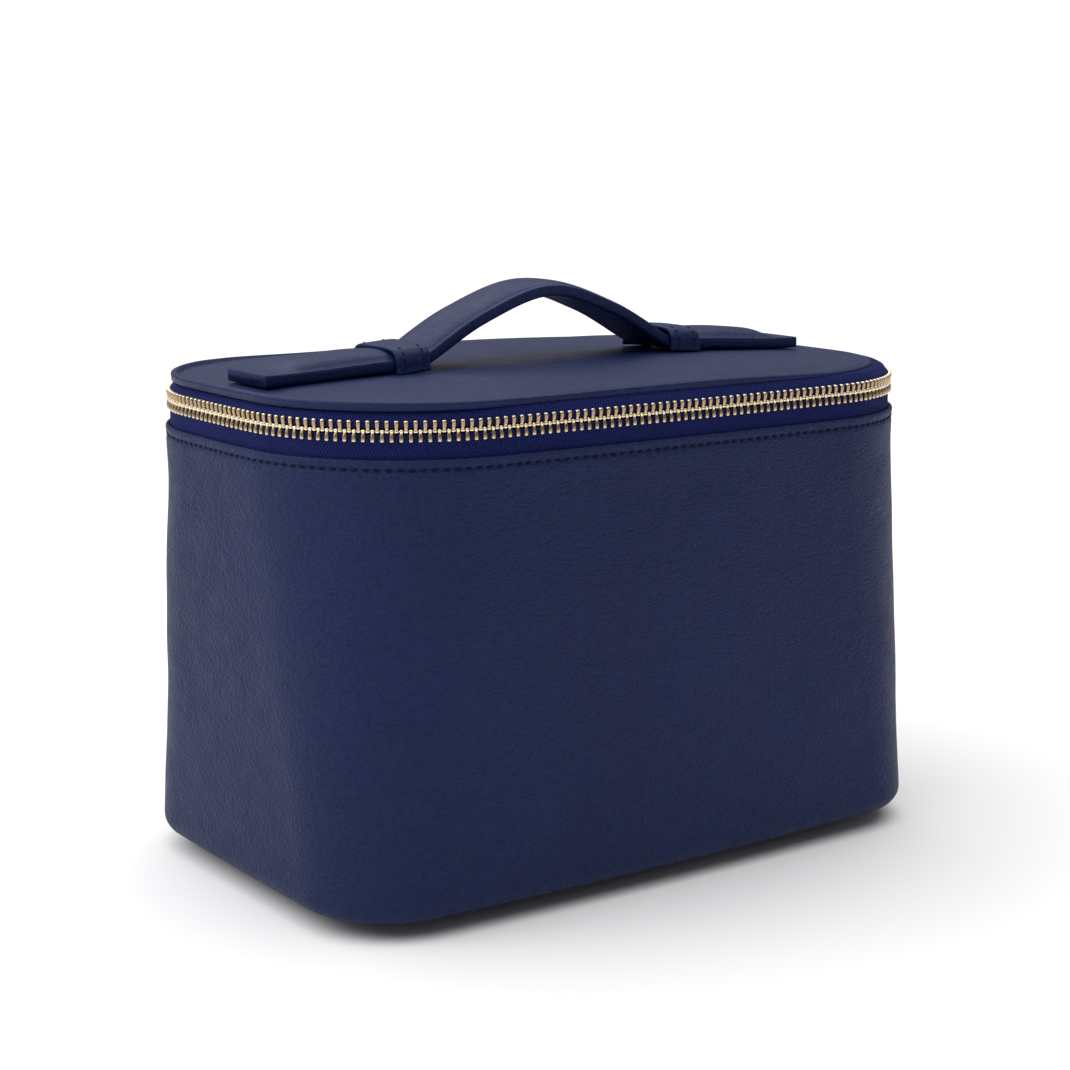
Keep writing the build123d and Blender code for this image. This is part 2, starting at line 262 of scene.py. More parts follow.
def arc(centre, radius, start, end, count):
    """(inset, height) pairs round an arc, angles in degrees from the inward direction."""
    angles = np.radians(np.linspace(start, end, count))
    return [(centre[0] + radius * math.cos(a), centre[1] + radius * math.sin(a)) for a in angles]


# ---------------------------------------------------------------- materials
class Nodes:
    """A short way to write a node tree."""

    def __init__(self, name):
        self.material = bpy.data.materials.new(name)
        self.material.use_nodes = True
        self.tree = self.material.node_tree
        self.shader = self.tree.nodes["Principled BSDF"]

    def add(self, kind, inputs=None, **settings):
        """A node of a kind, with its settings, constant inputs and linked inputs."""
        node = self.tree.nodes.new("ShaderNode" + kind)
        for key, value in settings.items():
            setattr(node, key, value)
        for key, value in (inputs or {}).items():
            if isinstance(value, bpy.types.NodeSocket):
                self.tree.links.new(value, node.inputs[key])
            else:
                node.inputs[key].default_value = value
        return node

    def math(self, operation, *values):
        """The result of a Math node."""
        return self.add("Math", dict(enumerate(values)), operation=operation).outputs[0]

    def place(self):
        """Object coordinates."""
        return self.add("TexCoord").outputs["Object"]

    def noise(self, scale, detail=3.0, roughness=0.55, vector=None):
        """A noise texture's value."""
        inputs = {"Vector": vector or self.place(), "Scale": scale}
        inputs |= {"Detail": detail, "Roughness": roughness}
        return self.add("TexNoise", inputs).outputs["Fac"]

    def spread(self, value, low, high, to_low=0.0, to_high=1.0):
        """A value remapped from one range to another, held at the ends."""
        return self.add("MapRange", {0: value, 1: low, 2: high, 3: to_low, 4: to_high}).outputs[0]

    def blend(self, share, first, second):
        """One colour mixed into another."""
        node = self.add("Mix", data_type="RGBA")
        self.tree.links.new(share, node.inputs[0])
        for index, value in ((6, first), (7, second)):
            if isinstance(value, bpy.types.NodeSocket):
                self.tree.links.new(value, node.inputs[index])
            else:
                node.inputs[index].default_value = (*value, 1.0)
        return node.outputs[2]

    def bump(self, height, distance, strength=1.0, below=None):
        """A bump of a height, on top of the one below it."""
        inputs = {"Height": height, "Distance": distance, "Strength": strength}
        if below:
            inputs["Normal"] = below
        return self.add("Bump", inputs).outputs[0]

    def set(self, **values):
        """Constants and links on the shader's own sockets."""
        for key, value in values.items():
            socket = self.shader.inputs[key.replace("_", " ")]
            if isinstance(value, bpy.types.NodeSocket):
                self.tree.links.new(value, socket)
            else:
                socket.default_value = value
        return self.material


PEBBLE = 1.0 * MM
TAPE_COLUMN = 0.95 * MM
TAPE_RIB = 1.05 * MM
TAPE_YARN = 0.62 * MM


def leather(name, colour, grain=1.0, rough=0.5, crease=1.0):
    """Pebbled leather: rounded cells of about a millimetre, fine creases and nearly even dye, with painted
    shade in the creases and between the cells.
    """
    n = Nodes(name)
    place = n.place()
    cloud = n.add("TexNoise", {"Vector": place, "Scale": 420.0}).outputs["Color"]
    wobble = n.add("VectorMath", {0: cloud, 1: (0.0013, 0.0013, 0.0009)}, operation="MULTIPLY").outputs[0]
    bent = n.add("VectorMath", {0: place, 1: wobble}, operation="ADD").outputs[0]
    flat = n.add("Mapping", {"Vector": bent, "Scale": (0.75, 0.75, 1.25)}).outputs[0]
    cells = n.add("TexVoronoi", {"Vector": flat, "Scale": 1.0 / PEBBLE, "Smoothness": 0.5},
                  feature="SMOOTH_F1").outputs["Distance"]
    pebble = n.spread(cells, 0.12, 0.72, 1.0, 0.0)
    stretch = n.add("Mapping", {"Vector": bent, "Scale": (0.7, 0.7, 1.5)}).outputs[0]
    streak = n.noise(430.0, 6.0, 0.68, vector=stretch)
    pore = n.noise(2600.0, 2.0, vector=place)
    dye = n.noise(11.0, 3.0, vector=place)
    fine = n.noise(150.0, 5.0, 0.6, vector=place)
    dark = tuple(0.88 * c for c in colour)
    light = tuple(1.10 * c for c in colour)
    tone = n.blend(n.spread(dye, 0.3, 0.7), dark, light)
    # Painted shade: darker where the creases sink in.
    tone = n.blend(n.spread(streak, 0.56, 0.38, 0.0, 0.25), tone, tuple(0.55 * c for c in colour))
    # Painted shade: darker in the grooves between the pebbles.
    tone = n.blend(n.spread(pebble, 0.05, 0.40, 0.50, 0.0), tone, tuple(0.5 * c for c in colour))
    low = n.bump(streak, 0.50 * MM * crease, 0.8)
    cell = n.bump(pebble, 0.22 * MM * grain, 1.0, low)
    top = n.bump(pore, 0.02 * MM, 0.5, cell)
    polish = n.math("ADD", fine, n.math("MULTIPLY", pebble, -0.25))
    shine = n.spread(polish, 0.2, 0.8, rough + 0.08, rough - 0.08)
    return n.set(Base_Color=tone, Roughness=shine, Normal=top, Specular_IOR_Level=0.17)


def woven(name, dark, light):
    """Herringbone tape, woven in columns across the height of the tape; the raised yarns are painted
    lighter and the grooves darker, as painted highlight and painted shade.
    """
    n = Nodes(name)
    parts = n.add("SeparateXYZ", {0: n.add("Attribute", attribute_name="run").outputs["Vector"]}).outputs
    column = n.math("PINGPONG", parts[1], TAPE_COLUMN)
    slope = n.math("ADD", parts[0], n.math("MULTIPLY", column, 1.1))
    rib = n.spread(n.math("SINE", n.math("MULTIPLY", slope, 2 * math.pi / TAPE_RIB)), -0.75, 0.85)
    yarn = n.math("SINE", n.math("MULTIPLY", parts[1], 2 * math.pi / TAPE_YARN))
    across = n.spread(yarn, -1.0, 1.0, 0.55, 1.0)
    height = n.math("MULTIPLY", rib, across)
    fuzz = n.noise(3600.0, 3.0)
    dye = n.noise(60.0, 3.0)
    # The colour follows the weave's height: painted highlight on the raised yarns, painted shade in the
    # grooves.
    share = n.math("MULTIPLY", height, n.spread(fuzz, 0.35, 0.65, 0.3, 1.0))
    tone = n.blend(share, dark, light)
    tone = n.blend(n.spread(dye, 0.35, 0.7, 0.0, 0.2), tone, dark)
    first = n.bump(height, 0.28 * MM, 1.0)
    return n.set(Base_Color=tone, Roughness=0.85, Normal=n.bump(fuzz, 0.04 * MM, 0.6, first),
                 Specular_IOR_Level=0.12)


def metal(name, colour, rough):
    """Plated metal with faint tumbling marks and darker low spots."""
    n = Nodes(name)
    cloud = n.noise(900.0, 4.0)
    fine = n.noise(4200.0, 3.0)
    dull = tuple(0.72 * c for c in colour)
    tone = n.blend(n.spread(cloud, 0.35, 0.65), colour, dull)
    shine = n.spread(fine, 0.3, 0.7, rough - 0.06, rough + 0.10)
    return n.set(Base_Color=tone, Metallic=1.0, Roughness=shine, Normal=n.bump(fine, 0.01 * MM, 0.4))


def tooth_metal(name, highlight_colour, dark_reflection_colour):
    """Plated zip metal, with a painted highlight at the tips and the middle and a painted dark reflection,
    tan in colour, on the legs.
    """
    n = Nodes(name)
    level = n.add("SeparateXYZ", {0: n.place()}).outputs[2]
    away = n.math("ABSOLUTE", n.math("SUBTRACT", level, CHAIN_LEVEL))
    # The bright tips and middle are a painted highlight; the tan legs are a painted reflection of dark
    # surroundings.
    middle_glint = n.spread(away, 0.35 * MM, 0.9 * MM, 1.0, 0.0)
    glint_share = n.math("MAXIMUM", middle_glint, n.spread(away, 2.4 * MM, 2.9 * MM))
    cloud = n.noise(1400.0, 4.0)
    tone = n.blend(n.math("MULTIPLY", glint_share, n.spread(cloud, 0.3, 0.6, 0.75, 1.0)), dark_reflection_colour, highlight_colour)
    shine = n.spread(cloud, 0.3, 0.7, 0.20, 0.36)
    return n.set(Base_Color=tone, Metallic=1.0, Roughness=shine, Normal=n.bump(cloud, 0.02 * MM, 0.5))


def suede(name, colour):
    """Short-napped lining cloth, brushed unevenly."""
    n = Nodes(name)
    nap = n.noise(3800.0, 3.0)
    brushed = n.noise(70.0, 4.0, 0.6)
    light = tuple(min(1.0, 1.35 * c) for c in colour)
    dark = tuple(0.7 * c for c in colour)
    tone = n.blend(n.spread(brushed, 0.35, 0.65), dark, light)
    tone = n.blend(n.spread(nap, 0.3, 0.7, 0.0, 0.4), tone, light)
    return n.set(Base_Color=tone, Roughness=0.92, Normal=n.bump(nap, 0.12 * MM, 0.7),
                 Specular_IOR_Level=0.2, Sheen_Weight=0.6, Sheen_Roughness=0.5)


def fibre_board(name, colour):
    """Grey-brown pressed board with flecks."""
    n = Nodes(name)
    fleck = n.noise(1500.0, 4.0, 0.7)
    cloud = n.noise(60.0, 3.0)
    tone = n.blend(n.spread(fleck, 0.4, 0.65), tuple(0.75 * c for c in colour), colour)
    tone = n.blend(n.spread(cloud, 0.4, 0.7, 0.0, 0.4), tone, tuple(1.15 * c for c in colour))
    return n.set(Base_Color=tone, Roughness=0.9, Normal=n.bump(fleck, 0.08 * MM, 0.6))


def foam_stuff(name, colour):
    """Open-cell foam, painted darker in its pits as painted shade."""
    n = Nodes(name)
    cells = n.add("TexVoronoi", {"Vector": n.place(), "Scale": 1400.0}).outputs["Distance"]
    # Painted shade: darker in the cell pits.
    tone = n.blend(n.spread(cells, 0.1, 0.6), tuple(0.7 * c for c in colour), colour)
    return n.set(Base_Color=tone, Roughness=0.95, Normal=n.bump(cells, 0.3 * MM, 0.8))


def ribbon_cloth(name, colour):
    """Satin ribbon with fine ribs across it, painted lighter on the ribs' tops and darker between them as
    painted highlight and painted shade.
    """
    n = Nodes(name)
    parts = n.add("SeparateXYZ", {0: n.place()}).outputs
    rib = n.spread(n.math("SINE", n.math("MULTIPLY", parts[2], 2 * math.pi / (0.5 * MM))), -1.0, 1.0)
    # Painted highlight on the rib tops, painted shade between them.
    tone = n.blend(rib, tuple(0.7 * c for c in colour), tuple(1.3 * c for c in colour))
    return n.set(Base_Color=tone, Roughness=0.45, Normal=n.bump(rib, 0.06 * MM, 0.7), Sheen_Weight=0.3)


def thread_stuff(name, colour):
    """Twisted sewing thread."""
    n = Nodes(name)
    twist = n.noise(6000.0, 2.0)
    tone = n.blend(twist, tuple(0.6 * c for c in colour), tuple(1.4 * c for c in colour))
    bump = n.bump(twist, 0.05 * MM, 0.8)
    return n.set(Base_Color=tone, Roughness=0.7, Normal=bump, Specular_IOR_Level=0.12)


NAVY = (0.0078, 0.0160, 0.0740)
leather_body = leather("navy_leather_body", NAVY)
leather_smooth = leather("navy_leather_smooth", NAVY, grain=0.4, rough=0.46, crease=0.35)
leather_strap = leather("navy_leather_strap", NAVY, grain=0.35, rough=0.42, crease=0.25)
tape_cloth = woven("navy_tape", (0.0025, 0.0045, 0.034), (0.024, 0.040, 0.270))
gold = metal("pale_gold", (0.78, 0.64, 0.41), 0.26)
# The second colour is the teeth's painted highlight, the third their painted dark reflection.
tooth_gold = tooth_metal("tooth_gold", (0.92, 0.80, 0.58), (0.40, 0.29, 0.17))
lining_suede = suede("slate_suede", (0.085, 0.10, 0.20))
board = fibre_board("fibre_board", (0.33, 0.27, 0.20))
foam = foam_stuff("foam", (0.72, 0.70, 0.64))
ribbon = ribbon_cloth("navy_ribbon", (0.02, 0.025, 0.12))
thread = thread_stuff("navy_thread", (0.0022, 0.0042, 0.0210))

# ---------------------------------------------------------------- body leather
ROUND = 6.0 * MM
SKIN = 1.5 * MM
HEM = 2.9 * MM


def soft_wall(loop):
    """Slight unevenness of hand-laid leather, fading out at the base and the hem."""
    level = loop[0, 2]
    up = min(max((level - BOTTOM - ROUND) / (25 * MM), 0.0), 1.0)
    down = min(max((EDGE - HEM - level) / (12 * MM), 0.0), 1.0)
    amount = 0.55 * MM * up * down
    if amount <= 0:
        return loop
    normals = outline(level)[1]
    for k, point in enumerate(loop):
        fine = noise.noise(Vector(point) * 60.0 + Vector((7, 3, 1)))
        wave = noise.noise(Vector(point) * 26.0) + 0.5 * fine
        push = amount * (wave - 0.75)
        point[:2] += normals[k] * push
    return loop


turned = 18.0 * MM
profile = [(turned, BOTTOM + SKIN), (turned, BOTTOM + 0.3 * MM)]
profile += [(turned - 0.4 * MM, BOTTOM), (13 * MM, BOTTOM)]
profile += arc((ROUND, BOTTOM + ROUND), ROUND, -90, -180, 9)
profile += [(0.0, level) for level in np.linspace(BOTTOM + 10 * MM, EDGE - HEM - 2.2 * MM, 34)]
profile += [(0.12 * MM, EDGE - HEM - 1.1 * MM), (0.50 * MM, EDGE - HEM - 0.35 * MM),
            (0.62 * MM, EDGE - HEM), (0.42 * MM, EDGE - HEM + 0.3 * MM),
            (0.06 * MM, EDGE - HEM + 0.9 * MM), (0.0, EDGE - 1.1 * MM)]
profile += arc((0.75 * MM, EDGE - 0.75 * MM), 0.75 * MM, 180, 0, 7)
profile += [(SKIN, EDGE - 3 * MM), (SKIN, EDGE - 7 * MM)]
case_leather = wrapped("case_leather", profile, soft_wall)
subdivide(case_leather)
finish_piece(case_leather, leather_body, "leather", "case", "body_leather")


# ---------------------------------------------------------------- stitches
def stitch_shape(length, radius, rings=5, sides=6):
    """One stitch lying along x: a slack rounded thread."""
    verts = []
    for k in range(rings):
        t = -1 + 2 * k / (rings - 1)
        swell = radius * math.sqrt(max(0.06, 1 - t ** 4))
        for s in range(sides):
            a = 2 * math.pi * s / sides
            rise = swell * math.sin(a) * 0.8 + radius * 0.4 * (1 - t * t)
            verts.append((t * length / 2, swell * math.cos(a), rise))
    faces = grid_faces(rings, sides, wrap_columns=True)
    faces.append(list(range(sides))[::-1])
    faces.append([(rings - 1) * sides + s for s in range(sides)])
    return np.array(verts), faces


def stitch_row(name, places, length, radius):
    """Stitches at places given as (point, along, outward)."""
    shape, faces = stitch_shape(length, radius)
    verts, quads = [], []
    for number, (point, along, outward) in enumerate(places):
        along, outward = np.array(along, float), np.array(outward, float)
        along /= np.linalg.norm(along)
        side = np.cross(outward, along)
        tilt = 0.16 + 0.06 * math.sin(number * 2.4)
        turned_along = along * math.cos(tilt) + side * math.sin(tilt)
        turned_side = np.cross(outward, turned_along)
        basis = np.stack([turned_along, turned_side, outward])
        quads += [[i + len(verts) * len(shape) for i in face] for face in faces]
        verts.append(np.array(point) + shape @ basis)
    return new_mesh(name, np.concatenate(verts), quads)


STITCH_STEP = 3.3 * MM
stitch_count = round(PERIMETER / STITCH_STEP)
places = []
for number in range(stitch_count):
    point, normal = on_path((number + 0.5) * PERIMETER / stitch_count)
    along = (-normal[1], normal[0], 0.0)
    flat = point - normal * 0.50 * MM
    places.append(((*flat, EDGE - HEM), along, (*normal, 0.0)))
hem_stitches = stitch_row("hem_stitches", places, 2.2 * MM, 0.36 * MM)
finish_piece(hem_stitches, thread, "leather", "case")

# ---------------------------------------------------------------- zip tapes
run = np.linspace(HINGE_HALF, PERIMETER - HINGE_HALF, 420)
middle = (TAPE_OUTER + TAPE_INNER) / 2
CORD = 0.55 * MM


def woven_band(name, profile, body, node):
    """A length of zip tape that stands for its plain band."""
    tape = along_path(name, profile, run)
    finish_piece(tape, tape_cloth, "zip_tape", body, node)


low_edge = CHAIN_LEVEL - 0.75 * MM
profile = [(TAPE_OUTER, tape_low[2]), (TAPE_OUTER, EDGE)]
profile.append((TAPE_OUTER + 0.05 * MM, CHAIN_LEVEL - CHAIN_HALF))
profile.append((TAPE_OUTER + 0.1 * MM, low_edge - 1.1 * MM))
profile += arc((middle, low_edge - CORD), CORD, 180, 0, 7)
profile += [(TAPE_INNER - 0.1 * MM, low_edge - 1.1 * MM), (TAPE_INNER, EDGE), (TAPE_INNER, tape_low[2])]
woven_band("tape_lower", profile, "case", "lower_zip_tape")

high_edge = CHAIN_LEVEL + 0.75 * MM
chain_top = CHAIN_LEVEL + CHAIN_HALF
lean = LID_INSET - TAPE_OUTER
profile = [(14 * MM, LID_SEAT - 0.05 * MM), (LID_INSET + 0.8 * MM, LID_SEAT - 0.1 * MM),
           (LID_INSET - 0.5 * MM, LID_SEAT - 0.8 * MM), (TAPE_OUTER + 0.42 * lean, chain_top + 1.0 * MM),
           (TAPE_OUTER + 0.12 * MM, chain_top - 0.1 * MM), (TAPE_OUTER + 0.1 * MM, high_edge + 1.1 * MM)]
profile += arc((middle, high_edge + CORD), CORD, 180, 360, 7)
profile += [(TAPE_INNER - 0.1 * MM, high_edge + 1.1 * MM), (TAPE_INNER + 0.1 * MM, chain_top - 0.1 * MM),
            (TAPE_INNER + 0.5 * lean, chain_top + 0.8 * MM), (LID_INSET + 1.2 * MM, LID_SEAT - 0.65 * MM),
            (14 * MM, LID_SEAT - 0.6 * MM)]
woven_band("tape_upper", profile[::-1], "lid", "upper_zip_tape")


# ---------------------------------------------------------------- zip teeth
SQUARENESS = 0.42


def tooth_shape(sides=12):
    """One stamped tooth as (along, outward, towards the other row): a leg, a neck and a knob."""
    stations = (
        (-3.10, 0.36, 0.95), (-3.04, 0.52, 1.18), (-2.84, 0.62, 1.34), (-2.30, 0.64, 1.38),
        (-1.30, 0.62, 1.28), (-0.85, 0.52, 1.12), (-0.50, 0.44, 1.00), (-0.16, 0.56, 1.12),
        (0.18, 0.66, 1.16), (0.46, 0.54, 0.95), (0.60, 0.24, 0.5),
    )
    verts = []
    for height, half_width, half_depth in stations:
        for s in range(sides):
            a = 2 * math.pi * (s + 0.5) / sides
            c, d = math.cos(a), math.sin(a)
            x = half_width * math.copysign(abs(c) ** SQUARENESS, c)
            y = half_depth * math.copysign(abs(d) ** SQUARENESS, d)
            verts.append((x, y, height))
    rows = len(stations)
    faces = grid_faces(rows, sides, wrap_columns=True)
    faces.append(list(range(sides))[::-1])
    faces.append([(rows - 1) * sides + s for s in range(sides)])
    return np.array(verts) * MM, faces


STOP_ROOM = 3.6 * MM
first_tooth = HINGE_HALF + STOP_ROOM
tooth_total = int((PERIMETER - 2 * first_tooth) / TOOTH_PITCH)


def tooth_row(name, up, shift, body, node):
    """A row of teeth along the path; up is 1 for the lower row and -1 for the upper one."""
    shape, faces = tooth_shape()
    verts, quads = [], []
    for number in range(tooth_total):
        point, normal = on_path(first_tooth + (number + shift) * TOOTH_PITCH)
        along = np.array((-normal[1], normal[0], 0.0)) * up
        outward = np.array((*normal, 0.0))
        basis = np.stack([along, outward, np.array((0.0, 0.0, float(up)))])
        origin = np.array((*(point - normal * TOOTH_INSET), CHAIN_LEVEL))
        quads += [[i + len(verts) * len(shape) for i in face] for face in faces]
        verts.append(origin + shape @ basis)
    row = new_mesh(name, np.concatenate(verts), quads)
    finish_piece(row, tooth_gold, "gold_metal", body, node)


tooth_row("teeth_lower", 1, 0.0, "case", "lower_zip_teeth")
tooth_row("teeth_upper", -1, 0.5, "lid", "upper_zip_teeth")

# ---------------------------------------------------------------- lid leather
RIM_LOW = LID_SEAT - 0.5 * MM
RIM_DROP = 0.9 * MM
RIM_LEAST = LID_SEAT + 0.75 * MM
ROLL_RISE = 1.4 * MM
CREASE_DEPTH = 0.6 * MM
LEFT_OVERHANG = 1.7 * MM
RIGHT_STEP = 3.4 * MM
RIGHT_FALL = 0.7 * MM
LEVEL_REACH = 25 * MM
CROWN_FADE = 75 * MM
TOP_SWAY = 0.18 * MM
PADDING_BELOW = 1.0 * MM
CROWN_RADIUS = 3058 * MM
rim_points, rim_normals = outline(EDGE)


def smooth(value):
    """A share eased in and out, held between 0 and 1."""
    t = min(max(value, 0.0), 1.0)
    return t * t * (3 - 2 * t)


def dome(x, y):
    """Height of the padded top: level in the middle, crowned beyond it, and a little lower to the right."""
    reach = math.hypot(x, y)
    fall = reach * reach / (2 * CROWN_RADIUS) * smooth((reach - LEVEL_REACH) / CROWN_FADE)
    return CROWN - fall - RIGHT_FALL * smooth((x - 10 * MM) / (90 * MM))


def leftness(x):
    """A share that grows from 0 left of the lid's middle to 1 near its left end."""
    return smooth((-35 * MM - x) / (60 * MM))


def rim_height(x, y):
    """Height of the rolled rim, which stands fuller at the left end."""
    return max(dome(x, y) - RIM_DROP, RIM_LEAST) + ROLL_RISE * leftness(x)


def lid_edge(inset):
    """The lid's outline drawn in: nearly flush with the tape at the left, set back at the right."""
    steps = []
    for x in rim_points[:, 0]:
        right_step = RIGHT_STEP * smooth((x - 50 * MM) / (55 * MM))
        steps.append(LID_INSET + inset - LEFT_OVERHANG * leftness(x) + right_step)
    return rim_points - rim_normals * np.reshape(steps, (-1, 1))


def rim_row(inset, drop, low=None):
    """A ring of the lid's edge, lowered from the rim's height or at a fixed level."""
    flat = lid_edge(inset)
    levels = [rim_height(*point) - drop if low is None else low for point in flat]
    return np.column_stack([flat, levels])


rows = [rim_row(2.5 * MM, 0, RIM_LOW), rim_row(0.6 * MM, 0, RIM_LOW - 0.1 * MM)]
rows.append(rim_row(0.15 * MM, 0, RIM_LOW + 0.15 * MM))
for inset, drop in ((0.0, 1.0), (0.0, 0.62), (0.22, 0.25), (0.75, 0.02), (1.4, 0.0), (2.0, 0.12)):
    rows.append(rim_row(inset * MM, drop * MM))
rows.append(rim_row(2.45 * MM, CREASE_DEPTH))
rows[-1][:, 2] -= [CREASE_DEPTH * leftness(x) for x in rim_points[:, 0]]
inner = lid_edge(2.9 * MM)
padding = []
LID_ROWS = 36
for k in range(LID_ROWS):
    share = (k / (LID_ROWS - 1)) ** 1.5
    flat = inner * (1 - share * 0.999)
    heights = []
    for x, y in flat:
        sway = noise.noise(Vector((x, y, 0.0)) * 14.0) * TOP_SWAY
        puff = smooth(share / 0.16)
        low_part = rim_height(x, y) - 0.1 * MM - ROLL_RISE * leftness(x) * 0.8
        heights.append(mix(low_part, max(dome(x, y) - 0.15 * MM, RIM_LEAST) + sway, puff))
    rows.append(np.column_stack([flat, heights]))
    under = np.maximum(np.array(heights) - PADDING_BELOW, LID_SEAT + 0.06 * MM)
    padding.append(np.column_stack([flat * (1 - PADDING_BELOW / EDGE_HALF[1]), under]))
count = len(rim_points)
faces = grid_faces(len(rows), count, wrap_columns=True)
faces.append([(len(rows) - 1) * count + k for k in range(count)])
lid_top = new_mesh("lid_top", np.concatenate(rows), faces)
finish_piece(lid_top, leather_smooth, "leather", "lid", "lid_leather")

# The foam under the leather follows it, down to a flat underside on the board
rim_under = padding[0].copy()
rim_under[:, 2] = LID_SEAT + 0.03 * MM
padding.insert(0, rim_under)
faces = grid_faces(len(padding), count, wrap_columns=True)
faces += [list(range(count))[::-1], [(len(padding) - 1) * count + k for k in range(count)]]
lid_padding = new_mesh("lid_padding", np.concatenate(padding), faces)
finish_piece(lid_padding, foam, "foam", "lid", "lid_foam")

# ---------------------------------------------------------------- hinge leather
back_run = np.linspace(-HINGE_HALF, HINGE_HALF, 60)
levels = np.concatenate([np.linspace(hinge_low[2], CHAIN_LEVEL - 2 * MM, 12),
                         np.linspace(CHAIN_LEVEL - 1.6 * MM, CHAIN_LEVEL + 1.6 * MM, 13),
                         np.linspace(CHAIN_LEVEL + 2 * MM, LID_SEAT - 0.2 * MM, 8)])


def hinge_inset(level):
    """How far the hinge leather stands in from the outline at a height."""
    if level < chain_top:
        return TAPE_OUTER
    return TAPE_OUTER + lean * (level - chain_top) / (LID_SEAT - chain_top)


rows = []
for face, order in ((0.0, levels), (0.8 * MM, levels[::-1])):
    for level in order:
        point, normal = on_path(np.mod(back_run, PERIMETER))
        flat = point - normal * (hinge_inset(level) + face)
        rows.append(np.column_stack([flat, np.full(len(flat), level)]))
faces = grid_faces(len(rows), len(back_run), wrap_rows=True)
faces.append([r * len(back_run) for r in range(len(rows))])
faces.append([r * len(back_run) + len(back_run) - 1 for r in range(len(rows))][::-1])
hinge_strip = new_mesh("hinge_strip", np.concatenate(rows), faces)
finish_piece(hinge_strip, leather_smooth, "leather", None, "hinge_lower", "hinge_upper")
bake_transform(hinge_strip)

# ---------------------------------------------------------------- handle
HANDLE_X = (arch_low[0] + arch_high[0]) / 2
STRAP_HALF = arch_high[1]
STRAP_LOW = arch_low[2]
WALL = 3.7 * MM


def through(points, count):
    """A smooth curve through points, by Catmull-Rom, evenly spaced along its length."""
    p = np.array(points, float)
    p = np.concatenate([[2 * p[0] - p[1]], p, [2 * p[-1] - p[-2]]])
    fine = []
    for k in range(1, len(p) - 2):
        for t in np.linspace(0, 1, 30, endpoint=False):
            a = 2 * p[k] + (p[k + 1] - p[k - 1]) * t
            b = (2 * p[k - 1] - 5 * p[k] + 4 * p[k + 1] - p[k + 2]) * t ** 2
            c = (3 * p[k] - p[k - 1] - 3 * p[k + 1] + p[k + 2]) * t ** 3
            fine.append((a + b + c) / 2)
    fine.append(p[-2])
    fine = np.array(fine)
    length = np.concatenate([[0], np.cumsum(np.linalg.norm(np.diff(fine, axis=0), axis=1))])
    even = np.linspace(0, length[-1], count)
    return np.stack([np.interp(even, length, fine[:, k]) for k in range(p.shape[1])], -1)


def strap_section(wall, crown, half=None):
    """The strap's section as (across, up): flat below, upright sides, a sewn margin and a padded top."""
    half = half or STRAP_HALF
    points = [(y * half, 0.0) for y in (-0.95, -0.6, -0.2, 0.2, 0.6, 0.95)]
    points += [(0.988 * half, 0.10 * wall), (half, 0.30 * wall), (half, 0.74 * wall),
               (0.99 * half, 0.93 * wall), (0.962 * half, wall), (0.895 * half, 0.985 * wall)]
    for y in np.linspace(0.84, -0.84, 15):
        points.append((y * half, wall + crown * (1 - abs(y / 0.885) ** 2.6) ** 0.6))
    mirrored = [(-a, b) for a, b in points[6:12]][::-1]
    return np.array(points + mirrored)


def strap_mesh(name, path, walls, crowns):
    """A strap swept along a path in the XZ plane."""
    tangent = np.gradient(path, axis=0)
    tangent /= np.linalg.norm(tangent, axis=1, keepdims=True)
    rows = []
    for (x, z), (tx, tz), wall, crown in zip(path, tangent, walls, crowns):
        section = strap_section(wall, crown)
        rows.append(np.column_stack([x - tz * section[:, 1], section[:, 0], z + tx * section[:, 1]]))
    n = len(rows[0])
    faces = grid_faces(len(rows), n, wrap_columns=True, flip=True)
    faces.append(list(range(n)))
    faces.append([(len(rows) - 1) * n + k for k in range(n)][::-1])
    return new_mesh(name, np.concatenate(rows), faces)


arch_reach = arch_high[0] - HANDLE_X
FOOT_DROP = 0.35 * MM
GRIP_EASE = 14 * MM
UNDER = 178.9 * MM
UNDER_SHOULDER = (25 * MM, 171.7 * MM)
UNDER_KNEE = (46 * MM, STRAP_LOW + 1.3 * MM)
left_half = [(-arch_reach, STRAP_LOW - FOOT_DROP), (-UNDER_KNEE[0], UNDER_KNEE[1])]
left_half.append((-UNDER_SHOULDER[0], UNDER_SHOULDER[1]))
path = through(left_half + [(0, UNDER)] + [(-x, z) for x, z in left_half[::-1]], 90)
path[:, 0] += HANDLE_X
spread = np.clip((arch_reach - np.abs(path[:, 0] - HANDLE_X)) / GRIP_EASE, 0, 1)
grip = strap_mesh("handle_grip", path, 3.3 * MM + 0.4 * MM * spread, 1.0 * MM + 0.4 * MM * spread)
subdivide(grip)
finish_piece(grip, leather_strap, "leather", "lid", "handle_arch")
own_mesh(grip)


TAIL_FLAT = 6 * MM
TAIL_FADE = 9 * MM
TAIL_DROP = 0.45 * MM
TAIL_GAP = 0.25 * MM


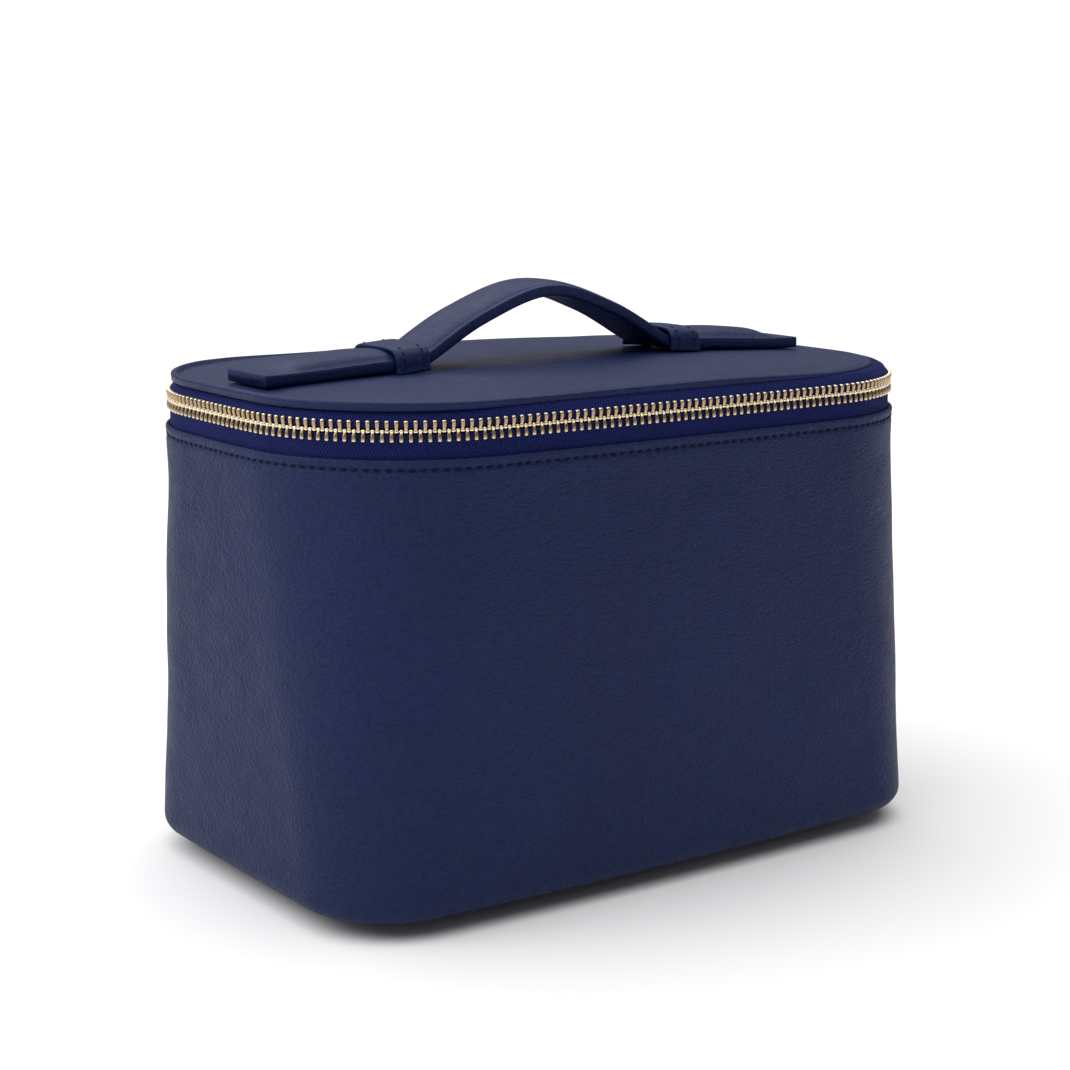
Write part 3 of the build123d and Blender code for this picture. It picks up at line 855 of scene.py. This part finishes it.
def strap_tail(side, node, body):
    """The strap's end beyond a keeper: the padding dies out before the square-cut end."""
    low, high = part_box(node)
    near, far = (high[0], low[0]) if side < 0 else (low[0], high[0])
    xs = np.concatenate([np.linspace(near, far - side * 0.4 * MM, 40), [far - side * 0.1 * MM, far]])
    rest = dome(far, 0.0) + TAIL_GAP
    rows = []
    for k, x in enumerate(xs):
        run = abs(x - near) / abs(far - near)
        lift = mix(low[2] - TAIL_DROP, rest, smooth(run))
        pad = smooth((abs(x - far) - TAIL_FLAT) / TAIL_FADE)
        shrink = 0.985 if k == len(xs) - 1 else 1.0
        crown = (1.7 * MM + 1.5 * MM * math.sin(math.pi * run ** 0.8)) * pad
        section = strap_section(WALL * shrink, crown, STRAP_HALF * shrink)
        rows.append(np.column_stack([np.full(len(section), x), section[:, 0], lift + section[:, 1]]))
    n = len(rows[0])
    faces = grid_faces(len(rows), n, wrap_columns=True, flip=side > 0)
    ends = [list(range(n)), [(len(rows) - 1) * n + k for k in range(n)][::-1]]
    faces += ends if side > 0 else [e[::-1] for e in ends]
    tail = new_mesh(f"strap_tail_{'left' if side < 0 else 'right'}", np.concatenate(rows), faces)
    finish_piece(tail, leather_strap, "leather", body, node)


strap_tail(-1, "strap_end_left", "strap_left")
strap_tail(1, "strap_end_right", "strap_right")


# ---------------------------------------------------------------- keepers
STITCH_OUT = 0.64 * MM
KEEPER_STEP = 2.2 * MM
KEEPER_START = 2.0 * MM


def keeper(node, side):
    """A leather loop over the strap, a little higher where the strap rises, with two stitch rows."""
    low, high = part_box(node)
    middle_x = (low[0] + high[0]) / 2
    half_length = (high[0] - low[0]) / 2
    half = STRAP_HALF + 1.05 * MM
    foot = low[2] - 0.2 * MM
    top = high[2] - 0.75 * MM
    corner = 3.9 * MM
    flare = 0.55 * MM

    def path_at(x):
        rise = top + side * -0.07 * (x - middle_x) - 0.45 * MM
        walls = np.linspace(0, 1, 5)
        lift = 0.9 * MM * smooth((side * (middle_x - x) / half_length + 1) / 2)
        pts = [(-half - flare * (1 - t) ** 2, mix(foot + lift, rise - corner, t)) for t in walls]
        for a in np.radians(np.linspace(180, 90, 7)):
            pts.append((-half + corner + corner * math.cos(a), rise - corner + corner * math.sin(a)))
        over = np.linspace(-half * 0.55, half * 0.55, 6)
        crown = [(y, rise + 0.4 * MM * (1 - (y / half) ** 2)) for y in over]
        return np.array(pts + crown + [(-y, z) for y, z in pts[::-1]])

    xs = middle_x + half_length * np.array((-1, -0.985, -0.93, -0.6, -0.2, 0.2, 0.6, 0.93, 0.985, 1))
    rows = []
    for x in xs:
        spine = path_at(x)
        tangent = np.gradient(spine, axis=0)
        tangent /= np.linalg.norm(tangent, axis=1, keepdims=True)
        out = np.column_stack([-tangent[:, 1], tangent[:, 0]])
        near = abs(x - middle_x) / half_length
        thick = 0.75 * MM * math.sqrt(max(0.12, 1 - max(0.0, (near - 0.9) / 0.1) ** 2))
        loop = np.concatenate([spine + out * thick, (spine - out * thick)[::-1]])
        rows.append(np.column_stack([np.full(len(loop), x), loop]))
    n = len(rows[0])
    faces = grid_faces(len(rows), n, wrap_columns=True, flip=True)
    half_n = n // 2
    for row, flip in ((0, False), (len(rows) - 1, True)):
        for k in range(half_n - 1):
            quad = [row * n + k, row * n + k + 1, row * n + n - 2 - k, row * n + n - 1 - k]
            faces.append(quad[::-1] if flip else quad)
    loop_piece = new_mesh(f"keeper_loop_{'left' if side < 0 else 'right'}", np.concatenate(rows), faces)
    subdivide(loop_piece)
    finish_piece(loop_piece, leather_strap, "leather", "lid", node)

    places = []
    for x in (middle_x - half_length + 2.6 * MM, middle_x + half_length - 2.6 * MM):
        spine = path_at(x)
        length = np.concatenate([[0.0], np.cumsum(np.linalg.norm(np.diff(spine, axis=0), axis=1))])
        tangent = np.gradient(spine, axis=0)
        tangent /= np.linalg.norm(tangent, axis=1, keepdims=True)
        first = np.arange(4) * KEEPER_STEP + KEEPER_START
        for at in np.concatenate([first, length[-1] - first]):
            y, z, ty, tz = (np.interp(at, length, column) for column in (*spine.T, *tangent.T))
            spot = (x, y - tz * STITCH_OUT, z + ty * STITCH_OUT)
            places.append((spot, (0.0, ty, tz), (0.0, -tz, ty)))
    name = f"keeper_stitches_{'left' if side < 0 else 'right'}"
    rows_piece = stitch_row(name, places, 1.5 * MM, 0.28 * MM)
    finish_piece(rows_piece, thread, "leather", "lid")


keeper("keeper_left", -1)
keeper("keeper_right", 1)

# ---------------------------------------------------------------- interior
LINING_IN = 4.5 * MM
lining_top = lining_high[2] + 0.4 * MM
floor_top = base_high[2] + 1.0 * MM
profile = [(TAPE_INNER + 0.1 * MM, lining_top - 2.5 * MM), (TAPE_INNER + 0.15 * MM, lining_top - 0.6 * MM)]
profile += arc(((TAPE_INNER + LINING_IN) / 2, lining_top - 0.9 * MM), 0.95 * MM, 170, 10, 6)
profile += [(LINING_IN, level) for level in np.linspace(lining_top - 3 * MM, floor_top + 5 * MM, 14)]
profile += arc((LINING_IN + 3 * MM, floor_top + 3 * MM), 3 * MM, 180, 270, 5)
profile += [(20 * MM, floor_top), (40 * MM, floor_top + 0.05 * MM)]
profile += [(60 * MM, floor_top), (70 * MM, floor_top)]


def closed_cup(name, profile):
    """A cup from a profile that ends on its floor, with the floor filled in to the middle."""
    loops = [ring(level, inset) for inset, level in profile]
    count = len(loops[0])
    for share in (0.6, 0.25, 0.02):
        middle_loop = loops[len(profile) - 1].copy()
        middle_loop[:, :2] *= share
        loops.append(middle_loop)
    faces = grid_faces(len(loops), count, wrap_columns=True)
    faces.append([(len(loops) - 1) * count + k for k in range(count)])
    return new_mesh(name, np.concatenate(loops), faces)


lining_cup = closed_cup("lining_cup", profile)
finish_piece(lining_cup, lining_suede, "lining", "case", "body_lining")

# Tray: a suede-covered shell with a rounded rim
TRAY_OUT = 5.3 * MM
TRAY_IN = 8.1 * MM
tray_floor = tray_inner_low[2] + 0.8 * MM
tray_rim = tray_high[2]
profile = [(30 * MM, tray_low[2]), (12 * MM, tray_low[2])]
profile += arc((TRAY_OUT + 1.5 * MM, tray_low[2] + 1.5 * MM), 1.5 * MM, -90, -180, 5)
profile += [(TRAY_OUT, level) for level in np.linspace(tray_low[2] + 5 * MM, tray_rim - 3 * MM, 6)]
profile += arc(((TRAY_OUT + TRAY_IN) / 2, tray_rim - 1.4 * MM), 1.4 * MM, 180, 0, 9)
profile += [(TRAY_IN, level) for level in np.linspace(tray_rim - 4 * MM, tray_floor + 4 * MM, 6)]
profile += arc((TRAY_IN + 2 * MM, tray_floor + 2 * MM), 2 * MM, 180, 270, 5)
profile += [(20 * MM, tray_floor), (40 * MM, tray_floor)]
tray_wrap = closed_cup("tray_wrap", profile)
finish_piece(tray_wrap, lining_suede, "lining", "tray", "tray_shell", "tray_lining")


def padded_roll(name, low, high):
    """A padded ring roll along x, plump in the middle, with gathered ends."""
    radius = (high[2] - low[2]) / 2
    centre = ((low[1] + high[1]) / 2, (low[2] + high[2]) / 2)
    length = high[0] - low[0]
    sides, rows = 28, []
    stations = [(0.0, 0.12), (0.006, 0.55), (0.022, 0.82), (0.05, 0.93), (0.1, 0.97)]
    stations += [(t, 0.975 + 0.02 * math.sin(math.pi * t)) for t in np.linspace(0.16, 0.84, 14)]
    stations += [(1 - t, s) for t, s in stations[:5][::-1]]
    for t, share in stations:
        loop = []
        for k in range(sides):
            a = 2 * math.pi * k / sides
            gather = 1 + 0.05 * math.cos(7 * a) * max(0.0, 1 - min(t, 1 - t) / 0.05)
            r = radius * share * gather
            wave = 1 + 0.012 * noise.noise(Vector((t * 9, math.cos(a) * 1.3, centre[0] * 90 + math.sin(a))))
            loop.append((low[0] + t * length, centre[0] + r * wave * math.cos(a) * 0.985,
                         centre[1] + r * wave * math.sin(a)))
        rows.append(loop)
    faces = grid_faces(len(rows), sides, wrap_columns=True)
    faces.append(list(range(sides))[::-1])
    faces.append([(len(rows) - 1) * sides + k for k in range(sides)])
    return new_mesh(name, np.concatenate(rows), faces)


rolls_low, rolls_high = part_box("ring_rolls")
ROLL_COUNT = 6
pitch = ((rolls_high[1] - rolls_low[1]) - (rolls_high[2] - rolls_low[2])) / (ROLL_COUNT - 1)
for number in range(ROLL_COUNT):
    edge = rolls_low[1] + number * pitch
    low = (rolls_low[0], edge, rolls_low[2])
    high = (rolls_high[0], edge + rolls_high[2] - rolls_low[2], rolls_high[2])
    roll = padded_roll(f"ring_roll_{number + 1}", low, high)
    subdivide(roll)
    finish_piece(roll, lining_suede, "lining", "tray", "ring_rolls")

# ---------------------------------------------------------------- feet
feet_low, feet_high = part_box("bag_feet")
foot_radius = (BOTTOM - feet_low[2]) * 1.2
foot_x = feet_high[0] - foot_radius
foot_y = feet_high[1] - foot_radius
# A stud's profile as (radius, height) in millimetres: a domed foot with its rivet above
stud = [(0.01, 0.0), (2.4, 0.0), (3.5, 0.12), (4.6, 0.75), (5.4, 1.8), (5.85, 3.1),
        (6.0, 4.1), (5.9, 4.7), (5.3, 5.0), (1.6, 5.0), (1.6, 8.9)]
verts, quads, sides = [], [], 32
for x in (-foot_x, foot_x):
    for y in (-foot_y, foot_y):
        base = len(verts)
        for radius, level in stud:
            for k in range(sides):
                a = 2 * math.pi * k / sides
                verts.append((x + radius * MM * math.cos(a), y + radius * MM * math.sin(a), level * MM))
        quads += [[i + base for i in face] for face in grid_faces(len(stud), sides, wrap_columns=True)]
        quads.append([base + k for k in range(sides)][::-1])
        quads.append([base + (len(stud) - 1) * sides + k for k in range(sides)])
studs = new_mesh("foot_studs", verts, quads)
finish_piece(studs, gold, "gold_metal", "case", "bag_feet")

# ---------------------------------------------------------------- CAD nodes that stay
KEPT = {
    "base_leather": (leather_smooth, 0.3), "base_board": (board, 0.2), "wall_board": (board, 0.2),
    "tray_ledge": (lining_suede, 0.6), "foot_washers": (gold, 0.15), "lower_end_stops": (gold, 0.3),
    "upper_end_stops": (gold, 0.3), "lid_board": (board, 0.2),
    "lid_lining": (lining_suede, 0.4), "tray_dividers": (lining_suede, 0.5), "tray_tabs": (ribbon, 0.2),
    "zip_slider_front": (gold, 0.25), "zip_slider_rear": (gold, 0.25),
    "puller_front": (gold, 0.22), "puller_rear": (gold, 0.22),
}
for node, (material, width) in KEPT.items():
    obj = frame["nodes"][node]
    obj.data.materials.clear()
    obj.data.materials.append(material)
    bevel = obj.modifiers.new("edge", "BEVEL")
    bevel.width = width * MM
    bevel.segments = 3
    bevel.limit_method = "ANGLE"
    bevel.angle_limit = math.radians(40)

# ---------------------------------------------------------------- floor, lights, camera
bpy.ops.mesh.primitive_plane_add(size=12.0, location=(0, 0, 0))
floor = bpy.context.active_object
floor.name = "floor"
n = Nodes("pale_floor")
floor.data.materials.append(n.set(Base_Color=(0.90, 0.90, 0.90, 1), Roughness=0.95, Specular_IOR_Level=0.0))


def soft_box(name, place, aim, size, power):
    """A large square area light pointing at a place."""
    light = bpy.data.lights.new(name, "AREA")
    light.shape = "RECTANGLE"
    light.size, light.size_y = size
    light.energy = power
    obj = bpy.data.objects.new(name, light)
    obj.location = place
    obj.rotation_euler = (Vector(aim) - Vector(place)).to_track_quat("-Z", "Y").to_euler()
    bpy.context.collection.objects.link(obj)


soft_box("key_left", (-1.35, 0.35, 0.95), (0, 0, 0.08), (1.1, 1.1), 6)

# A broad overhead source, the same all over the floor, so that the floor stays white to the horizon
overhead = bpy.data.lights.new("overhead", "SUN")
overhead.energy = 3.3
overhead.angle = math.radians(110)
sun = bpy.data.objects.new("overhead", overhead)
sun.rotation_euler = (Vector((0, 0, 0)) - Vector((-0.15, 0.2, 1.0))).to_track_quat("-Z", "Y").to_euler()
bpy.context.collection.objects.link(sun)

world = bpy.data.worlds.new("studio")
bpy.context.scene.world = world
world.use_nodes = True
tree = world.node_tree
background = tree.nodes["Background"]
background.inputs["Color"].default_value = (1, 1, 1, 1)
ray = tree.nodes.new("ShaderNodeLightPath")
level = tree.nodes.new("ShaderNodeMapRange")
tree.links.new(ray.outputs["Is Camera Ray"], level.inputs[0])
level.inputs[3].default_value = 0.25
level.inputs[4].default_value = 1.05
tree.links.new(level.outputs[0], background.inputs["Strength"])
bpy.context.scene.view_settings.view_transform = "Standard"

CAMERA_AZIMUTH = math.radians(-35.29)
CAMERA_ELEVATION = math.radians(10.79)
CAMERA_DISTANCE = 0.7359
CAMERA_LENS = 74.98
CAMERA_TARGET = Vector((-0.0011, 0.0008, 0.0994))
data = bpy.data.cameras.new("camera")
data.lens = CAMERA_LENS
data.sensor_width = 36.0
camera = bpy.data.objects.new("camera", data)
back = Vector((math.sin(CAMERA_AZIMUTH) * math.cos(CAMERA_ELEVATION),
               -math.cos(CAMERA_AZIMUTH) * math.cos(CAMERA_ELEVATION), math.sin(CAMERA_ELEVATION)))
camera.location = CAMERA_TARGET + CAMERA_DISTANCE * back
camera.rotation_euler = back.to_track_quat("Z", "Y").to_euler()
bpy.context.collection.objects.link(camera)
bpy.context.scene.camera = camera
